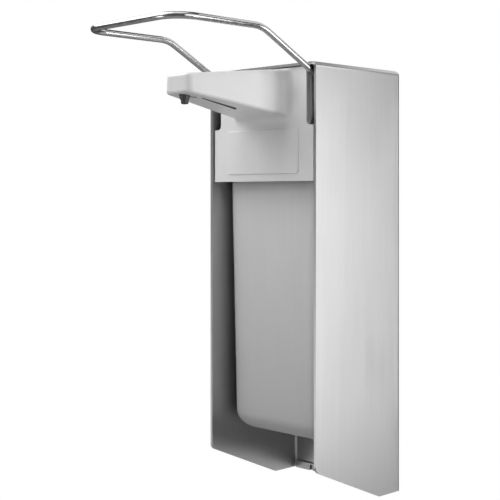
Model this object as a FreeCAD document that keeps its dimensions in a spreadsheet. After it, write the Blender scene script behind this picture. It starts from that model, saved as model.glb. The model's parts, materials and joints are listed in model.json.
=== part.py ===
import FreeCAD, Part
import math
import os

import Sketcher
from FreeCAD import Placement, Rotation, Vector

# Arm-lever soap dispenser for a 500 ml bottle, hung on a wall.
# Frame: the wall is the plane y = 0, the front faces -Y, +X is to the viewer's right, +Z is up.
# The origin is the centre of the four screw holes in the back wall.
# "drop" in a name is a distance down from the top of the housing.
# "out" in a name is a distance forward from the wall.

DIMENSIONS = [
    # housing
    ("housing_width", 82.0), ("housing_out", 71.0), ("housing_top", 118.5), ("housing_drop", 237.0),
    ("front_corner_drop", 215.0), ("kink_out", 19.0), ("front_corner_radius", 4.0),
    ("sheet_gauge", 1.5), ("bend_radius", 2.8),
    ("screw_across", 30.0), ("screw_up", 190.0), ("screw_hole", 5.2),
    # strip at the foot of the back wall
    ("hook_rail_height", 4.5), ("hook_slot_offset", 25.3), ("hook_slot_width", 2.5),
    ("hook_slot_height", 3.4),
    # lever
    ("rod_diameter", 3.5), ("rod_offset", 36.5), ("pivot_out", 8.0), ("pivot_drop", 37.4),
    ("lever_rise", 14.8), ("lever_bend_out", 106.2), ("lever_front_out", 162.8),
    ("lever_bend_radius", 20.0), ("lever_corner_radius", 13.0), ("journal_bend_radius", 5.0),
    ("journal_end", 24.5),
    # bearing
    ("ear_offset", 28.0), ("ear_radius", 6.0), ("bush_radius", 3.0), ("bush_flange_radius", 4.5),
    ("bush_reach", 1.0), ("running_gap", 0.04),
    # yoke and presser
    ("yoke_start", 17.5), ("yoke_length", 12.0), ("yoke_below", 2.5), ("yoke_above", 3.5),
    ("yoke_boss_start", 32.0), ("yoke_boss_end", 38.9), ("yoke_boss_half", 3.6),
    ("yoke_rounding", 1.0), ("set_screw_length", 1.6),
    ("presser_radius", 4.0), ("presser_along", 23.1), ("presser_below", 4.07), ("presser_half", 7.0),
    # front plate
    ("plate_width", 76.4), ("plate_gauge", 3.0), ("plate_setback", 1.0), ("plate_top_drop", 1.9),
    ("plate_drop", 62.6), ("notch_inner", 33.2), ("notch_drop", 33.1),
    ("notch_radius", 2.4),
    ("label_half", 27.5), ("label_top_drop", 34.4), ("label_drop", 58.6), ("label_radius", 1.8),
    ("label_height", 0.5), ("label_edge", 0.35),
    # spout arm
    ("arm_tip_out", 131.5), ("arm_tip_half", 9.9), ("arm_tip_half_above", 8.8), ("arm_tip_top", 8.3),
    ("arm_tip_drop", 18.1),
    ("arm_base_half", 20.4), ("arm_base_top", 2.3), ("arm_base_drop", 28.0), ("arm_wall", 1.8),
    ("arm_edge_radius", 1.6), ("arm_tip_radius", 4.0), ("arm_root_radius", 5.0),
    ("nozzle_out", 125.9), ("nozzle_drop", 23.5), ("nozzle_radius", 2.0), ("nozzle_bore", 1.1),
    ("nozzle_rounding", 0.8),
    ("sleeve_radius", 3.1), ("sleeve_end_radius", 2.45), ("sleeve_top", 17.4), ("sleeve_drop", 21.2),
    ("cover_half", 4.8), ("cover_gap", 0.5), ("cover_taper", 1.4), ("cover_front_out", 121.4),
    ("cover_rear_out", 93.5), ("cover_proud", 0.6),
    # pump axis, plunger and piston
    ("pump_out", 30.3), ("plunger_drop", 34.45), ("plunger_height", 4.5), ("plunger_radius", 8.5),
    ("piston_rod_radius", 3.5), ("piston_rod_top", 36.3), ("piston_drop", 58.0),
    ("piston_height", 6.0), ("piston_radius", 7.7), ("seal_radius", 7.95), ("seal_root", 6.4),
    # cylinder
    ("head_top", 42.6), ("recess_radius", 11.0), ("head_radius", 18.5), ("recess_drop", 47.5),
    ("flange_top", 48.4), ("flange_drop", 51.0), ("flange_radius", 21.0), ("bore_radius", 8.0),
    ("barrel_radius", 10.0), ("barrel_floor", 85.4), ("barrel_drop", 89.0), ("bush_seat_drop", 50.5),
    ("bush_seat_radius", 9.0), ("seat_radius", 4.6), ("seat_hole", 2.2), ("seat_hole_drop", 87.8),
    ("socket_radius", 5.6), ("socket_drop", 97.0), ("tube_stop_drop", 91.0),
    ("riser_forward", 14.5), ("riser_radius", 3.5), ("riser_bore", 1.6), ("port_drop", 83.6),
    # small pump pieces
    ("dip_radius", 4.0), ("dip_bore", 3.0), ("dip_drop", 197.0),
    ("gasket_inner", 18.1), ("gasket_outer", 20.7), ("gasket_drop", 52.2),
    ("cage_outer", 5.3), ("cage_inner", 4.5), ("cage_top", 79.4), ("cage_hole", 2.4),
    ("suction_ball_radius", 3.5), ("suction_ball_drop", 84.98),
    ("valve_radius", 4.5), ("valve_top", 31.0), ("valve_bore", 2.04), ("valve_cone_drop", 40.2),
    ("valve_hole", 1.0), ("valve_hole_drop", 41.24),
    ("discharge_ball_radius", 1.75), ("discharge_ball_drop", 39.7),
    ("spring_radius", 6.2), ("spring_wire", 1.2), ("spring_turns", 6.0),
    ("outlet_radius", 2.0), ("outlet_bore", 1.4), ("outlet_foot_drop", 34.6), ("outlet_rise_drop", 18.5),
    ("outlet_tip_drop", 13.2), ("outlet_end_drop", 19.0), ("outlet_rear_radius", 9.0),
    ("outlet_front_radius", 4.2),
    # carrier and rails
    ("deck_top", 43.4), ("deck_drop", 46.0), ("deck_half", 38.1), ("deck_front_out", 67.0),
    ("deck_rear_out", 17.0), ("tongue_half", 25.5), ("tongue_out", 6.5), ("apron_drop", 58.0),
    ("apron_half", 31.0), ("apron_gauge", 2.6), ("lug_top", 31.5), ("lug_inner", 23.0),
    ("screw_radius", 1.5), ("screw_head_radius", 2.75), ("screw_head_height", 1.6),
    ("screw_bite", 2.0), ("screw_upper_drop", 37.3), ("screw_lower_drop", 54.0),
    ("screw_offset", 27.0), ("clip_radius", 22.0), ("clip_height", 0.8), ("clip_gap", 14.0),
    ("rail_gauge", 1.0), ("rail_lip", 3.5), ("rail_gap", 0.3), ("rail_front_out", 63.5),
    ("rail_rear_out", 17.5),
    # collar nut
    ("nut_radius", 25.0), ("nut_top", 46.3), ("nut_lip_drop", 48.2), ("nut_drop", 58.5),
    ("nut_lip_inner", 18.9), ("nut_inner", 21.4), ("nut_grips", 24.0), ("grip_radius", 1.2),
    # bottle
    ("bottle_half", 38.5), ("bottle_front_out", 62.4), ("bottle_rear_out", 4.2),
    ("bottle_foot_half", 36.1), ("bottle_foot_front_out", 60.5), ("bottle_foot_rear_out", 5.4),
    ("bottle_corner_radius", 10.5), ("bottle_foot_drop", 203.3), ("bottle_shoulder_drop", 59.2),
    ("bottle_shoulder_radius", 6.0), ("bottle_foot_radius", 10.0), ("bottle_wall", 1.2),
    ("neck_radius", 21.0), ("neck_wall", 2.2), ("neck_top", 52.35),
]

doc = FreeCAD.newDocument("soap_dispenser")
sheet = doc.addObject("Spreadsheet::Sheet", "dims")
for row, (alias, number) in enumerate(DIMENSIONS, start=1):
    sheet.set(f"A{row}", alias)
    sheet.set(f"B{row}", str(number))
    sheet.setAlias(f"B{row}", alias)
doc.recompute()


class Size:
    """A length that knows both its value and the spreadsheet expression that gives it."""

    def __init__(self, text, value):
        self.text = text
        self.value = value

    @staticmethod
    def of(thing):
        if isinstance(thing, Size):
            return thing
        return Size(repr(float(thing)), float(thing))

    def __add__(self, other):
        other = Size.of(other)
        return Size(f"({self.text} + {other.text})", self.value + other.value)

    def __sub__(self, other):
        other = Size.of(other)
        return Size(f"({self.text} - {other.text})", self.value - other.value)

    def __mul__(self, other):
        other = Size.of(other)
        return Size(f"({self.text} * {other.text})", self.value * other.value)

    def __truediv__(self, other):
        other = Size.of(other)
        return Size(f"({self.text} / {other.text})", self.value / other.value)

    def __neg__(self):
        return Size(f"(-{self.text})", -self.value)


class Sheet:
    """Gives each alias of the spreadsheet as a Size: D.housing_width and so on."""

    def __getattr__(self, alias):
        return Size("dims." + alias, float(sheet.get(alias)))


D = Sheet()
ZERO = Size("0", 0.0)


def z_at(drop):
    """Height in the model's frame of a place that lies this far below the housing's top."""
    return D.housing_top - drop


def bind(thing, prop, size):
    size = Size.of(size)
    thing.setExpression(prop, size.text)


def place(thing, x=ZERO, y=ZERO, z=ZERO, rotation=None):
    """Put an object at a bound position, with an optional fixed rotation."""
    thing.Placement = Placement(Vector(), rotation or Rotation())
    for axis, size in (("x", x), ("y", y), ("z", z)):
        bind(thing, "Placement.Base." + axis, size)


# ---- Part Design helpers ------------------------------------------------------------------

def new_body(name):
    body = doc.addObject("PartDesign::Body", name)
    body.Label = name
    return body


def new_sketch(body, name, role, offset=None):
    """A sketch on one of the body's own origin planes, moved along the plane's normal."""
    sketch = body.newObject("Sketcher::SketchObject", name)
    plane = [item for item in body.Origin.OriginFeatures if item.Role == role][0]
    sketch.AttachmentSupport = [(plane, "")]
    sketch.MapMode = "FlatFace"
    if offset is not None:
        bind(sketch, "AttachmentOffset.Base.z", offset)
    return sketch


def pin_point(sketch, geometry, end, x, y):
    """Fix one end of a sketch line (or a circle's centre) at bound coordinates."""
    for kind, axis, size in (("DistanceX", -2, x), ("DistanceY", -1, y)):
        size = Size.of(size)
        if size.value == 0.0:
            sketch.addConstraint(Sketcher.Constraint("PointOnObject", geometry, end, axis))
            continue
        index = sketch.addConstraint(Sketcher.Constraint(kind, -1, 1, geometry, end, size.value))
        sketch.setExpression(f"Constraints[{index}]", size.text)


def polygon(sketch, points):
    """A closed outline through bound points."""
    corners = [Vector(Size.of(x).value, Size.of(y).value, 0) for x, y in points]
    count = len(points)
    first = sketch.GeometryCount
    for i in range(count):
        sketch.addGeometry(Part.LineSegment(corners[i], corners[(i + 1) % count]), False)
    for i in range(count):
        following = first + (i + 1) % count
        sketch.addConstraint(Sketcher.Constraint("Coincident", first + i, 2, following, 1))
    for i, (x, y) in enumerate(points):
        pin_point(sketch, first + i, 1, x, y)


def rectangle(sketch, x_low, y_low, x_high, y_high):
    polygon(sketch, [(x_low, y_low), (x_high, y_low), (x_high, y_high), (x_low, y_high)])


def circle(sketch, x, y, radius):
    radius = Size.of(radius)
    centre = Vector(Size.of(x).value, Size.of(y).value, 0)
    index = sketch.addGeometry(Part.Circle(centre, Vector(0, 0, 1), radius.value), False)
    pin_point(sketch, index, 3, x, y)
    datum = sketch.addConstraint(Sketcher.Constraint("Radius", index, radius.value))
    sketch.setExpression(f"Constraints[{datum}]", radius.text)


def feature(body, kind, name, sketch, length=None, reverse=False, midplane=False):
    """A Pad or a Pocket of a sketch; no length means through everything."""
    made = body.newObject("PartDesign::" + kind, name)
    made.Profile = sketch
    made.Reversed = reverse
    made.Midplane = midplane
    if length is None:
        made.Type = "ThroughAll"
    else:
        bind(made, "Length", length)
    sketch.Visibility = False
    return made


def cut_by(body, made):
    """Recompute and make sure that the last feature removed material."""
    doc.recompute()
    if not made.Shape.Volume < made.BaseFeature.Shape.Volume - 0.01:
        raise RuntimeError(f"{body.Label}: {made.Name} cuts nothing")
    return made


def edges_of(shape, test):
    """Names of the edges whose midpoint and direction pass a test."""
    names = []
    for index, edge in enumerate(shape.Edges, start=1):
        middle = edge.valueAt((edge.FirstParameter + edge.LastParameter) / 2)
        box = edge.BoundBox
        if test(middle, Vector(box.XLength, box.YLength, box.ZLength)):
            names.append(f"Edge{index}")
    return names


def round_edges(body, name, base, test, radius):
    doc.recompute()
    made = body.newObject("PartDesign::Fillet", name)
    made.Base = (base, edges_of(base.Shape, test))
    bind(made, "Radius", radius)
    doc.recompute()
    return made


def turned(name, outline, x=ZERO, y=ZERO):
    """A turned piece: an outline of (radius, height) points spun about its axis."""
    body = new_body(name)
    sketch = new_sketch(body, name + "_outline", "XZ_Plane")
    polygon(sketch, outline)
    spin = body.newObject("PartDesign::Revolution", name + "_spin")
    spin.Profile = sketch
    spin.ReferenceAxis = (sketch, ["V_Axis"])
    spin.Angle = 360
    place(body, x, y)
    return body


def ring(name, inner, outer, top_drop, bottom_drop, x=ZERO, y=ZERO):
    top = z_at(top_drop)
    bottom = z_at(bottom_drop)
    outline = [(inner, bottom), (outer, bottom), (outer, top), (inner, top)]
    return turned(name, outline, x, y)


# ---- Part helpers -------------------------------------------------------------------------

def part_box(name, x_low, y_low, z_low, x_high, y_high, z_high):
    box = doc.addObject("Part::Box", name)
    low = [Size.of(size) for size in (x_low, y_low, z_low)]
    high = [Size.of(size) for size in (x_high, y_high, z_high)]
    for prop, start, end in zip(("Length", "Width", "Height"), low, high):
        bind(box, prop, end - start)
    place(box, *low)
    return box


def part_cylinder(name, radius, length, x, y, z, rotation=None):
    cylinder = doc.addObject("Part::Cylinder", name)
    bind(cylinder, "Radius", radius)
    bind(cylinder, "Height", length)
    place(cylinder, x, y, z, rotation)
    return cylinder


def fuse(name, pieces):
    made = doc.addObject("Part::MultiFuse", name)
    made.Shapes = pieces
    made.Refine = True
    made.Label = name
    return made


def cut(name, base, tool):
    made = doc.addObject("Part::Cut", name)
    made.Base = base
    made.Tool = tool
    made.Refine = True
    made.Label = name
    return made


def group(name, pieces):
    """Several separate solids that share one node, such as equal screws."""
    made = doc.addObject("Part::Compound", name)
    made.Links = pieces
    made.Label = name
    return made


def shaped(name, shape):
    """A piece whose shape no feature gives, such as a bent rod."""
    made = doc.addObject("Part::Feature", name)
    made.Label = name
    made.Shape = shape
    return made


def bent_line(points, radii):
    """A wire of straight runs through points, with an arc of the given radius at each inner one."""
    edges = []
    start = points[0]
    for before, corner, after, radius in zip(points, points[1:], points[2:], radii):
        incoming = (corner - before).normalize()
        outgoing = (after - corner).normalize()
        turn = incoming.getAngle(outgoing)
        reach = radius * math.tan(turn / 2)
        inward = (outgoing - incoming).normalize()
        centre = corner + inward * (radius / math.cos(turn / 2))
        arc_start = corner - incoming * reach
        arc_end = corner + outgoing * reach
        arc_middle = centre - inward * radius
        edges.append(Part.LineSegment(start, arc_start).toShape())
        edges.append(Part.Arc(arc_start, arc_middle, arc_end).toShape())
        start = arc_end
    edges.append(Part.LineSegment(start, points[-1]).toShape())
    return Part.Wire(edges)


def bent_rod(points, radii, rod_radius):
    path = bent_line(points, radii)
    direction = points[1] - points[0]
    section = Part.Wire(Part.Circle(points[0], direction, rod_radius).toShape())
    return path.makePipeShell([section], True, False)


# ---- housing ------------------------------------------------------------------------------

half_width = D.housing_width / 2
inner_half = half_width - D.sheet_gauge


def bent_block(name, profile, width, radius, top):
    """A block whose rear upright edges and top edges are rounded as bent sheet is."""
    body = new_body(name)
    side = new_sketch(body, name + "_side", "YZ_Plane")
    polygon(side, profile)
    block = feature(body, "Pad", name + "_pad", side, width, midplane=True)
    rear = max(Size.of(y).value for y, z in profile)
    level = top.value
    bends = round_edges(
        body, name + "_bends", block,
        lambda at, run: (abs(at.y - rear) < 0.1 and (run.z > 50 or abs(at.z - level) < 0.1))
        or (abs(at.z - level) < 0.1 and run.y > 20),
        radius)
    return body, bends


def make_housing():
    """Pressed shell: back, top and two cheeks, open at the front and at the foot."""
    outer, bends = bent_block("housing_outer", [
        (ZERO, D.housing_top),
        (-D.housing_out, D.housing_top),
        (-D.housing_out, z_at(D.front_corner_drop)),
        (-D.kink_out, z_at(D.housing_drop)),
        (ZERO, z_at(D.housing_drop)),
    ], D.housing_width, D.bend_radius, D.housing_top)
    out = D.housing_out.value
    corner = z_at(D.front_corner_drop).value
    round_edges(
        outer, "housing_nose", bends,
        lambda at, run: abs(at.y + out) < 0.1 and abs(at.z - corner) < 0.1 and run.x > 1,
        D.front_corner_radius)
    gauge = D.sheet_gauge
    past = 5
    inner, _ = bent_block("housing_inside", [
        (-gauge, D.housing_top - gauge),
        (-(D.housing_out + past), D.housing_top - gauge),
        (-(D.housing_out + past), z_at(D.housing_drop) - past),
        (-gauge, z_at(D.housing_drop) - past),
    ], inner_half * 2, D.bend_radius - gauge, D.housing_top - gauge)
    drills = []
    for across in (-1, 1):
        for up in (-1, 1):
            drills.append(part_cylinder(
                f"screw_drill_{len(drills) + 1}", D.screw_hole / 2, gauge * 4,
                D.screw_across * (across / 2), gauge * 2, D.screw_up * (up / 2),
                Rotation(Vector(1, 0, 0), 90)))
    return cut("housing_shell", outer, fuse("housing_openings", [inner] + drills))


def make_hook_rail():
    """Strip along the foot of the back wall, notched for the hooks of a drip tray."""
    foot = z_at(D.housing_drop)
    front = -(D.sheet_gauge * 2)
    edge = inner_half - D.bend_radius + D.sheet_gauge - 0.1
    strip = part_box("hook_strip", -edge, front, foot, edge, -D.sheet_gauge, foot + D.hook_rail_height)
    slots = []
    for side, sign in (("left", -1), ("right", 1)):
        middle = D.hook_slot_offset * sign
        slots.append(part_box(
            f"{side}_hook_slot", middle - D.hook_slot_width / 2, front - 1, foot - 1,
            middle + D.hook_slot_width / 2, ZERO, foot + D.hook_slot_height))
    return cut("tray_hook_rail", strip, fuse("hook_slots", slots))


# ---- lever bearing ------------------------------------------------------------------------

PIVOT_Y = -D.pivot_out
PIVOT_Z = z_at(D.pivot_drop)
ALONG_X = Rotation(Vector(0, 1, 0), 90)


def make_bearing_bracket():
    """Channel on the back wall whose two ears carry the lever's journals."""
    outer = D.ear_offset + D.sheet_gauge
    base = part_box("bracket_base", -outer, -(D.sheet_gauge * 2), PIVOT_Z - D.ear_radius,
                    outer, -D.sheet_gauge, PIVOT_Z + D.ear_radius)
    pieces = [base]
    for side, start in (("left", -outer), ("right", D.ear_offset)):
        pieces.append(part_box(f"{side}_ear_root", start, PIVOT_Y, PIVOT_Z - D.ear_radius,
                               start + D.sheet_gauge, -D.sheet_gauge, PIVOT_Z + D.ear_radius))
        pieces.append(part_cylinder(f"{side}_ear_nose", D.ear_radius, D.sheet_gauge,
                                    start, PIVOT_Y, PIVOT_Z, ALONG_X))
    bore = part_cylinder("bracket_bore", D.bush_radius + 0.01, outer * 2 + 2,
                         -outer - 1, PIVOT_Y, PIVOT_Z, ALONG_X)
    return cut("bearing_bracket", fuse("bracket_solid", pieces), bore)


def make_bearing_bush(side, sign):
    """Flanged bush: the flange lies on the ear's outer face, the sleeve goes through the ear."""
    face = D.ear_offset + D.sheet_gauge
    sleeve_end = D.ear_offset - D.bush_reach
    flange_end = face + D.bush_reach
    bore = D.rod_diameter / 2 + D.running_gap
    body = turned(f"{side}_bearing_bush", [
        (bore, sleeve_end), (D.bush_radius, sleeve_end), (D.bush_radius, face),
        (D.bush_flange_radius, face), (D.bush_flange_radius, flange_end), (bore, flange_end),
    ])
    place(body, ZERO, PIVOT_Y, PIVOT_Z, Rotation(Vector(0, 1, 0), 90 * sign))
    return body


def make_journal_clips():
    inner = D.rod_diameter / 2 + 0.01
    clips = []
    for side, sign in (("left", -1), ("right", 1)):
        near = D.ear_offset - D.bush_reach - 0.3
        far = near - 0.8
        clip = turned(f"{side}_journal_clip", [
            (inner, far), (inner + 1.7, far), (inner + 1.7, near), (inner, near)])
        place(clip, ZERO, PIVOT_Y, PIVOT_Z, Rotation(Vector(0, 1, 0), 90 * sign))
        clips.append(clip)
    return group("journal_clips", clips)


# ---- lever --------------------------------------------------------------------------------

def lever_slope():
    """Angle above the horizontal of the stretch of rod between the pivot and the outer bend."""
    rise = D.lever_rise.value + D.pivot_drop.value
    run = D.lever_bend_out.value - D.pivot_out.value
    return math.degrees(math.atan2(rise, run))


SLOPE = lever_slope()


def make_lever_bow():
    pivot = Vector(0, PIVOT_Y.value, PIVOT_Z.value)
    level = D.housing_top.value + D.lever_rise.value
    bend_y = -D.lever_bend_out.value
    front_y = -D.lever_front_out.value
    half = [
        Vector(D.journal_end.value, pivot.y, pivot.z),
        Vector(D.rod_offset.value, pivot.y, pivot.z),
        Vector(D.rod_offset.value, bend_y, level),
        Vector(D.rod_offset.value, front_y, level),
    ]
    mirrored = [Vector(-point.x, point.y, point.z) for point in reversed(half)]
    radii = [D.journal_bend_radius.value, D.lever_bend_radius.value, D.lever_corner_radius.value]
    return shaped("lever_bow", bent_rod(half + mirrored, radii + radii[::-1], D.rod_diameter.value / 2))


def on_lever(thing):
    """Turn a piece drawn along +Y from the pivot so that it lies along the lever's sloping rods."""
    turn = Rotation(Vector(1, 0, 0), -SLOPE) * Rotation(Vector(0, 0, 1), 180)
    place(thing, ZERO, PIVOT_Y, PIVOT_Z, turn)
    return thing


def make_yoke():
    """Cross piece between the rods, with a clamping boss round each of them."""
    body = new_body("lever_yoke")
    start = D.yoke_start
    end = start + D.yoke_length
    bar = new_sketch(body, "yoke_bar_outline", "YZ_Plane")
    rectangle(bar, start, -D.yoke_below, end, D.yoke_above)
    feature(body, "Pad", "yoke_bar", bar, D.yoke_boss_start * 2 + 2, midplane=True)
    bosses = new_sketch(body, "yoke_boss_outline", "XZ_Plane", -start)
    for low, high in ((-D.yoke_boss_end, -D.yoke_boss_start), (D.yoke_boss_start, D.yoke_boss_end)):
        rectangle(bosses, low, -D.yoke_boss_half, high, D.yoke_boss_half)
    boss_pad = feature(body, "Pad", "yoke_bosses", bosses, D.yoke_length, reverse=True)
    doc.recompute()
    round_edges(body, "yoke_rounding", boss_pad,
                lambda at, run: run.x > 20 and run.y < 0.1 and run.z < 0.1, D.yoke_rounding)
    bores = new_sketch(body, "yoke_bore_outline", "XZ_Plane", -start)
    for sign in (-1, 1):
        circle(bores, D.rod_offset * sign, ZERO, D.rod_diameter / 2 + 0.02)
    cut_by(body, feature(body, "Pocket", "yoke_bores", bores, D.yoke_length * 3, midplane=True))
    taps = new_sketch(body, "yoke_tap_outline", "XY_Plane")
    for sign in (-1, 1):
        circle(taps, D.rod_offset * sign, D.presser_along, D.screw_radius)
    cut_by(body, feature(body, "Pocket", "yoke_taps", taps, D.yoke_boss_half * 1.2, reverse=True))
    return on_lever(body)


def make_yoke_set_screws():
    screws = []
    for side, sign in (("left", -1), ("right", 1)):
        body = new_body(f"{side}_set_screw")
        outline = new_sketch(body, f"{side}_set_screw_outline", "XY_Plane", D.rod_diameter / 2 + 0.03)
        circle(outline, D.rod_offset * sign, D.presser_along, D.screw_radius - 0.01)
        feature(body, "Pad", f"{side}_set_screw_pad", outline, D.set_screw_length)
        screws.append(on_lever(body))
    return group("yoke_set_screws", screws)


def make_presser_pad():
    """Half-round pad under the yoke: its cylinder rolls on the plunger's head."""
    body = new_body("presser_pad")
    sketch = new_sketch(body, "presser_outline", "YZ_Plane")
    low = -D.presser_below
    near = D.presser_along - D.presser_radius
    far = D.presser_along + D.presser_radius
    rectangle(sketch, near, low, far, -D.yoke_below)
    feature(body, "Pad", "presser_block", sketch, D.presser_half * 2, midplane=True)
    roll = new_sketch(body, "presser_roll_outline", "YZ_Plane")
    circle(roll, D.presser_along, low, D.presser_radius)
    feature(body, "Pad", "presser_roll", roll, D.presser_half * 2, midplane=True)
    seat = new_sketch(body, "presser_seat_outline", "YZ_Plane")
    rectangle(seat, near - 2, -D.yoke_below, far + 2, D.presser_radius * 2)
    cut_by(body, feature(body, "Pocket", "presser_seat", seat, D.presser_half * 4, midplane=True))
    return on_lever(body)


# ---- front plate and spout arm ------------------------------------------------------------

PLATE_FRONT = D.housing_out - D.plate_setback
PLATE_REAR = PLATE_FRONT - D.plate_gauge


def make_pump_front():
    body = new_body("pump_front")
    half = D.plate_width / 2
    top = z_at(D.plate_top_drop)
    bottom = z_at(D.plate_drop)
    notch_foot = z_at(D.notch_drop)
    outline = new_sketch(body, "plate_outline", "XZ_Plane", PLATE_REAR)
    polygon(outline, [
        (-half, bottom), (half, bottom), (half, notch_foot), (D.notch_inner, notch_foot),
        (D.notch_inner, top), (-D.notch_inner, top), (-D.notch_inner, notch_foot),
        (-half, notch_foot),
    ])
    plate = feature(body, "Pad", "plate", outline, D.plate_gauge)
    front = PLATE_FRONT.value
    foot_z = notch_foot.value

    round_edges(
        body, "notch_rounding", plate,
        lambda at, run: abs(at.z - foot_z) < 0.1 and abs(abs(at.x) - D.notch_inner.value) < 0.1
        and run.y > 1,
        D.notch_radius)
    base = new_sketch(body, "arm_base_outline", "XZ_Plane", PLATE_FRONT - 1)
    rectangle(base, -D.arm_base_half, z_at(D.arm_base_drop), D.arm_base_half, z_at(D.arm_base_top))
    tip = new_sketch(body, "arm_tip_outline", "XZ_Plane", D.arm_tip_out)
    polygon(tip, [
        (-D.arm_tip_half, z_at(D.arm_tip_drop)), (D.arm_tip_half, z_at(D.arm_tip_drop)),
        (D.arm_tip_half_above, z_at(D.arm_tip_top)), (-D.arm_tip_half_above, z_at(D.arm_tip_top)),
    ])
    doc.recompute()
    arm = body.newObject("PartDesign::AdditiveLoft", "arm")
    arm.Profile = base
    arm.Sections = [tip]
    arm.Ruled = True
    doc.recompute()

    tip_y = -D.arm_tip_out.value
    side_round = round_edges(
        body, "arm_tip_rounding", arm,
        lambda at, run: abs(at.y - tip_y) < 0.1 and run.z > 5, D.arm_tip_radius)
    long_round = round_edges(
        body, "arm_edge_rounding", side_round,
        lambda at, run: (-126 < at.y < -front - 5 and run.y > 20)
        or (abs(at.y - tip_y) < 3 and run.z < 1.5),
        D.arm_edge_radius)
    round_edges(
        body, "arm_root_rounding", long_round,
        lambda at, run: abs(at.y + front) < 0.05 and abs(at.x) < D.arm_base_half.value + 1
        and z_at(D.arm_base_drop).value - 1 < at.z < z_at(D.arm_base_top).value - 0.3
        and run.y < 0.05,
        D.arm_root_radius)

    wall = D.arm_wall
    hollow_base = new_sketch(body, "arm_hollow_base", "XZ_Plane", PLATE_REAR - 0.5)
    rectangle(hollow_base, -(D.arm_base_half - wall - 1), z_at(D.arm_base_drop - wall),
              D.arm_base_half - wall - 1, z_at(D.arm_base_top + wall))
    hollow_tip = new_sketch(body, "arm_hollow_tip", "XZ_Plane", D.arm_tip_out - wall - 0.4)
    rectangle(hollow_tip, -(D.arm_tip_half_above - wall), z_at(D.arm_tip_drop - wall),
              D.arm_tip_half_above - wall, z_at(D.arm_tip_top + wall))
    doc.recompute()
    hollow = body.newObject("PartDesign::SubtractiveLoft", "arm_hollow")
    hollow.Profile = hollow_base
    hollow.Sections = [hollow_tip]
    hollow.Ruled = True
    cut_by(body, hollow)

    label = new_sketch(body, "label_outline", "XZ_Plane", PLATE_FRONT)
    rectangle(label, -D.label_half, z_at(D.label_drop), D.label_half, z_at(D.label_top_drop))
    pad = feature(body, "Pad", "label_pad", label, D.label_height)
    corner_x = D.label_half.value
    corners = round_edges(
        body, "label_corners", pad,
        lambda at, run: abs(abs(at.x) - corner_x) < 0.05 and run.y > 0.2
        and max(run.x, run.z) < 0.05 and at.y < -front,
        D.label_radius)
    label_y = -(PLATE_FRONT + D.label_height).value
    round_edges(body, "label_edges", corners, lambda at, run: abs(at.y - label_y) < 0.01, D.label_edge)

    slot = new_sketch(body, "channel_outline", "XY_Plane")
    gap = D.cover_gap
    rectangle(slot, -(D.cover_half + gap), -(D.cover_front_out + gap),
              D.cover_half + gap, -(D.cover_rear_out - gap))
    bind(slot, "AttachmentOffset.Base.z", z_at(D.arm_base_drop) - 1)
    cut_by(body, feature(body, "Pocket", "channel_slot", slot, D.arm_base_drop - D.outlet_tip_drop,
                         reverse=True))
    mouth = new_sketch(body, "nozzle_hole_outline", "XY_Plane")
    circle(mouth, ZERO, -D.nozzle_out, D.sleeve_radius + 0.02)
    bind(mouth, "AttachmentOffset.Base.z", z_at(D.arm_tip_drop) - 3)
    cut_by(body, feature(body, "Pocket", "nozzle_hole", mouth, D.arm_wall + 4.2, reverse=True))

    pilots = new_sketch(body, "pilot_outline", "XZ_Plane", PLATE_REAR)
    for x, z in screw_places():
        circle(pilots, x, z, D.screw_radius)
    cut_by(body, feature(body, "Pocket", "pilots", pilots, D.screw_bite + 0.2, reverse=True))
    return body


def make_channel_cover():
    """Strip in the underside of the arm, parallel to it and standing slightly proud."""
    body = new_body("spout_channel_cover")
    rise = (D.arm_base_drop - D.arm_tip_drop) / (D.arm_tip_out - PLATE_FRONT + 1)
    sketch = new_sketch(body, "cover_side", "YZ_Plane")
    points = []
    for out, proud in ((D.cover_front_out, D.cover_proud / 2), (D.cover_rear_out, D.cover_proud)):
        skin = z_at(D.arm_tip_drop + (D.arm_tip_out - out) * rise)
        points.append((-out, skin - proud))
        points.append((-out, skin + D.arm_wall))
    polygon(sketch, [points[0], points[2], points[3], points[1]])
    feature(body, "Pad", "cover", sketch, D.cover_half * 2, midplane=True)
    front = -(D.cover_front_out + 1)
    rear = -(D.cover_rear_out - 1)
    for side, sign in (("left", -1), ("right", 1)):
        trim = new_sketch(body, f"{side}_cover_trim", "XY_Plane")
        narrow = (D.cover_half - D.cover_taper) * sign
        polygon(trim, [(D.cover_half * sign, front), (narrow, rear), ((D.cover_half + 2) * sign, rear),
                       ((D.cover_half + 2) * sign, front)])
        cut_by(body, feature(body, "Pocket", f"{side}_cover_taper", trim, D.housing_top * 4, midplane=True))
    return body


# ---- outlet -------------------------------------------------------------------------------

RISER_Y = -(D.pump_out + D.riser_forward)
PUMP_Y = -D.pump_out


def make_outlet_tube():
    top = D.housing_top.value
    points = [
        Vector(0, RISER_Y.value, top - D.outlet_foot_drop.value),
        Vector(0, RISER_Y.value, top - D.outlet_rise_drop.value),
        Vector(0, -D.nozzle_out.value, top - D.outlet_tip_drop.value),
        Vector(0, -D.nozzle_out.value, top - D.outlet_end_drop.value),
    ]
    radii = [D.outlet_rear_radius.value, D.outlet_front_radius.value]
    outer = bent_rod(points, radii, D.outlet_radius.value)
    bore = bent_rod(points, radii, D.outlet_bore.value)
    return shaped("outlet_tube", outer.cut(bore))


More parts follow.
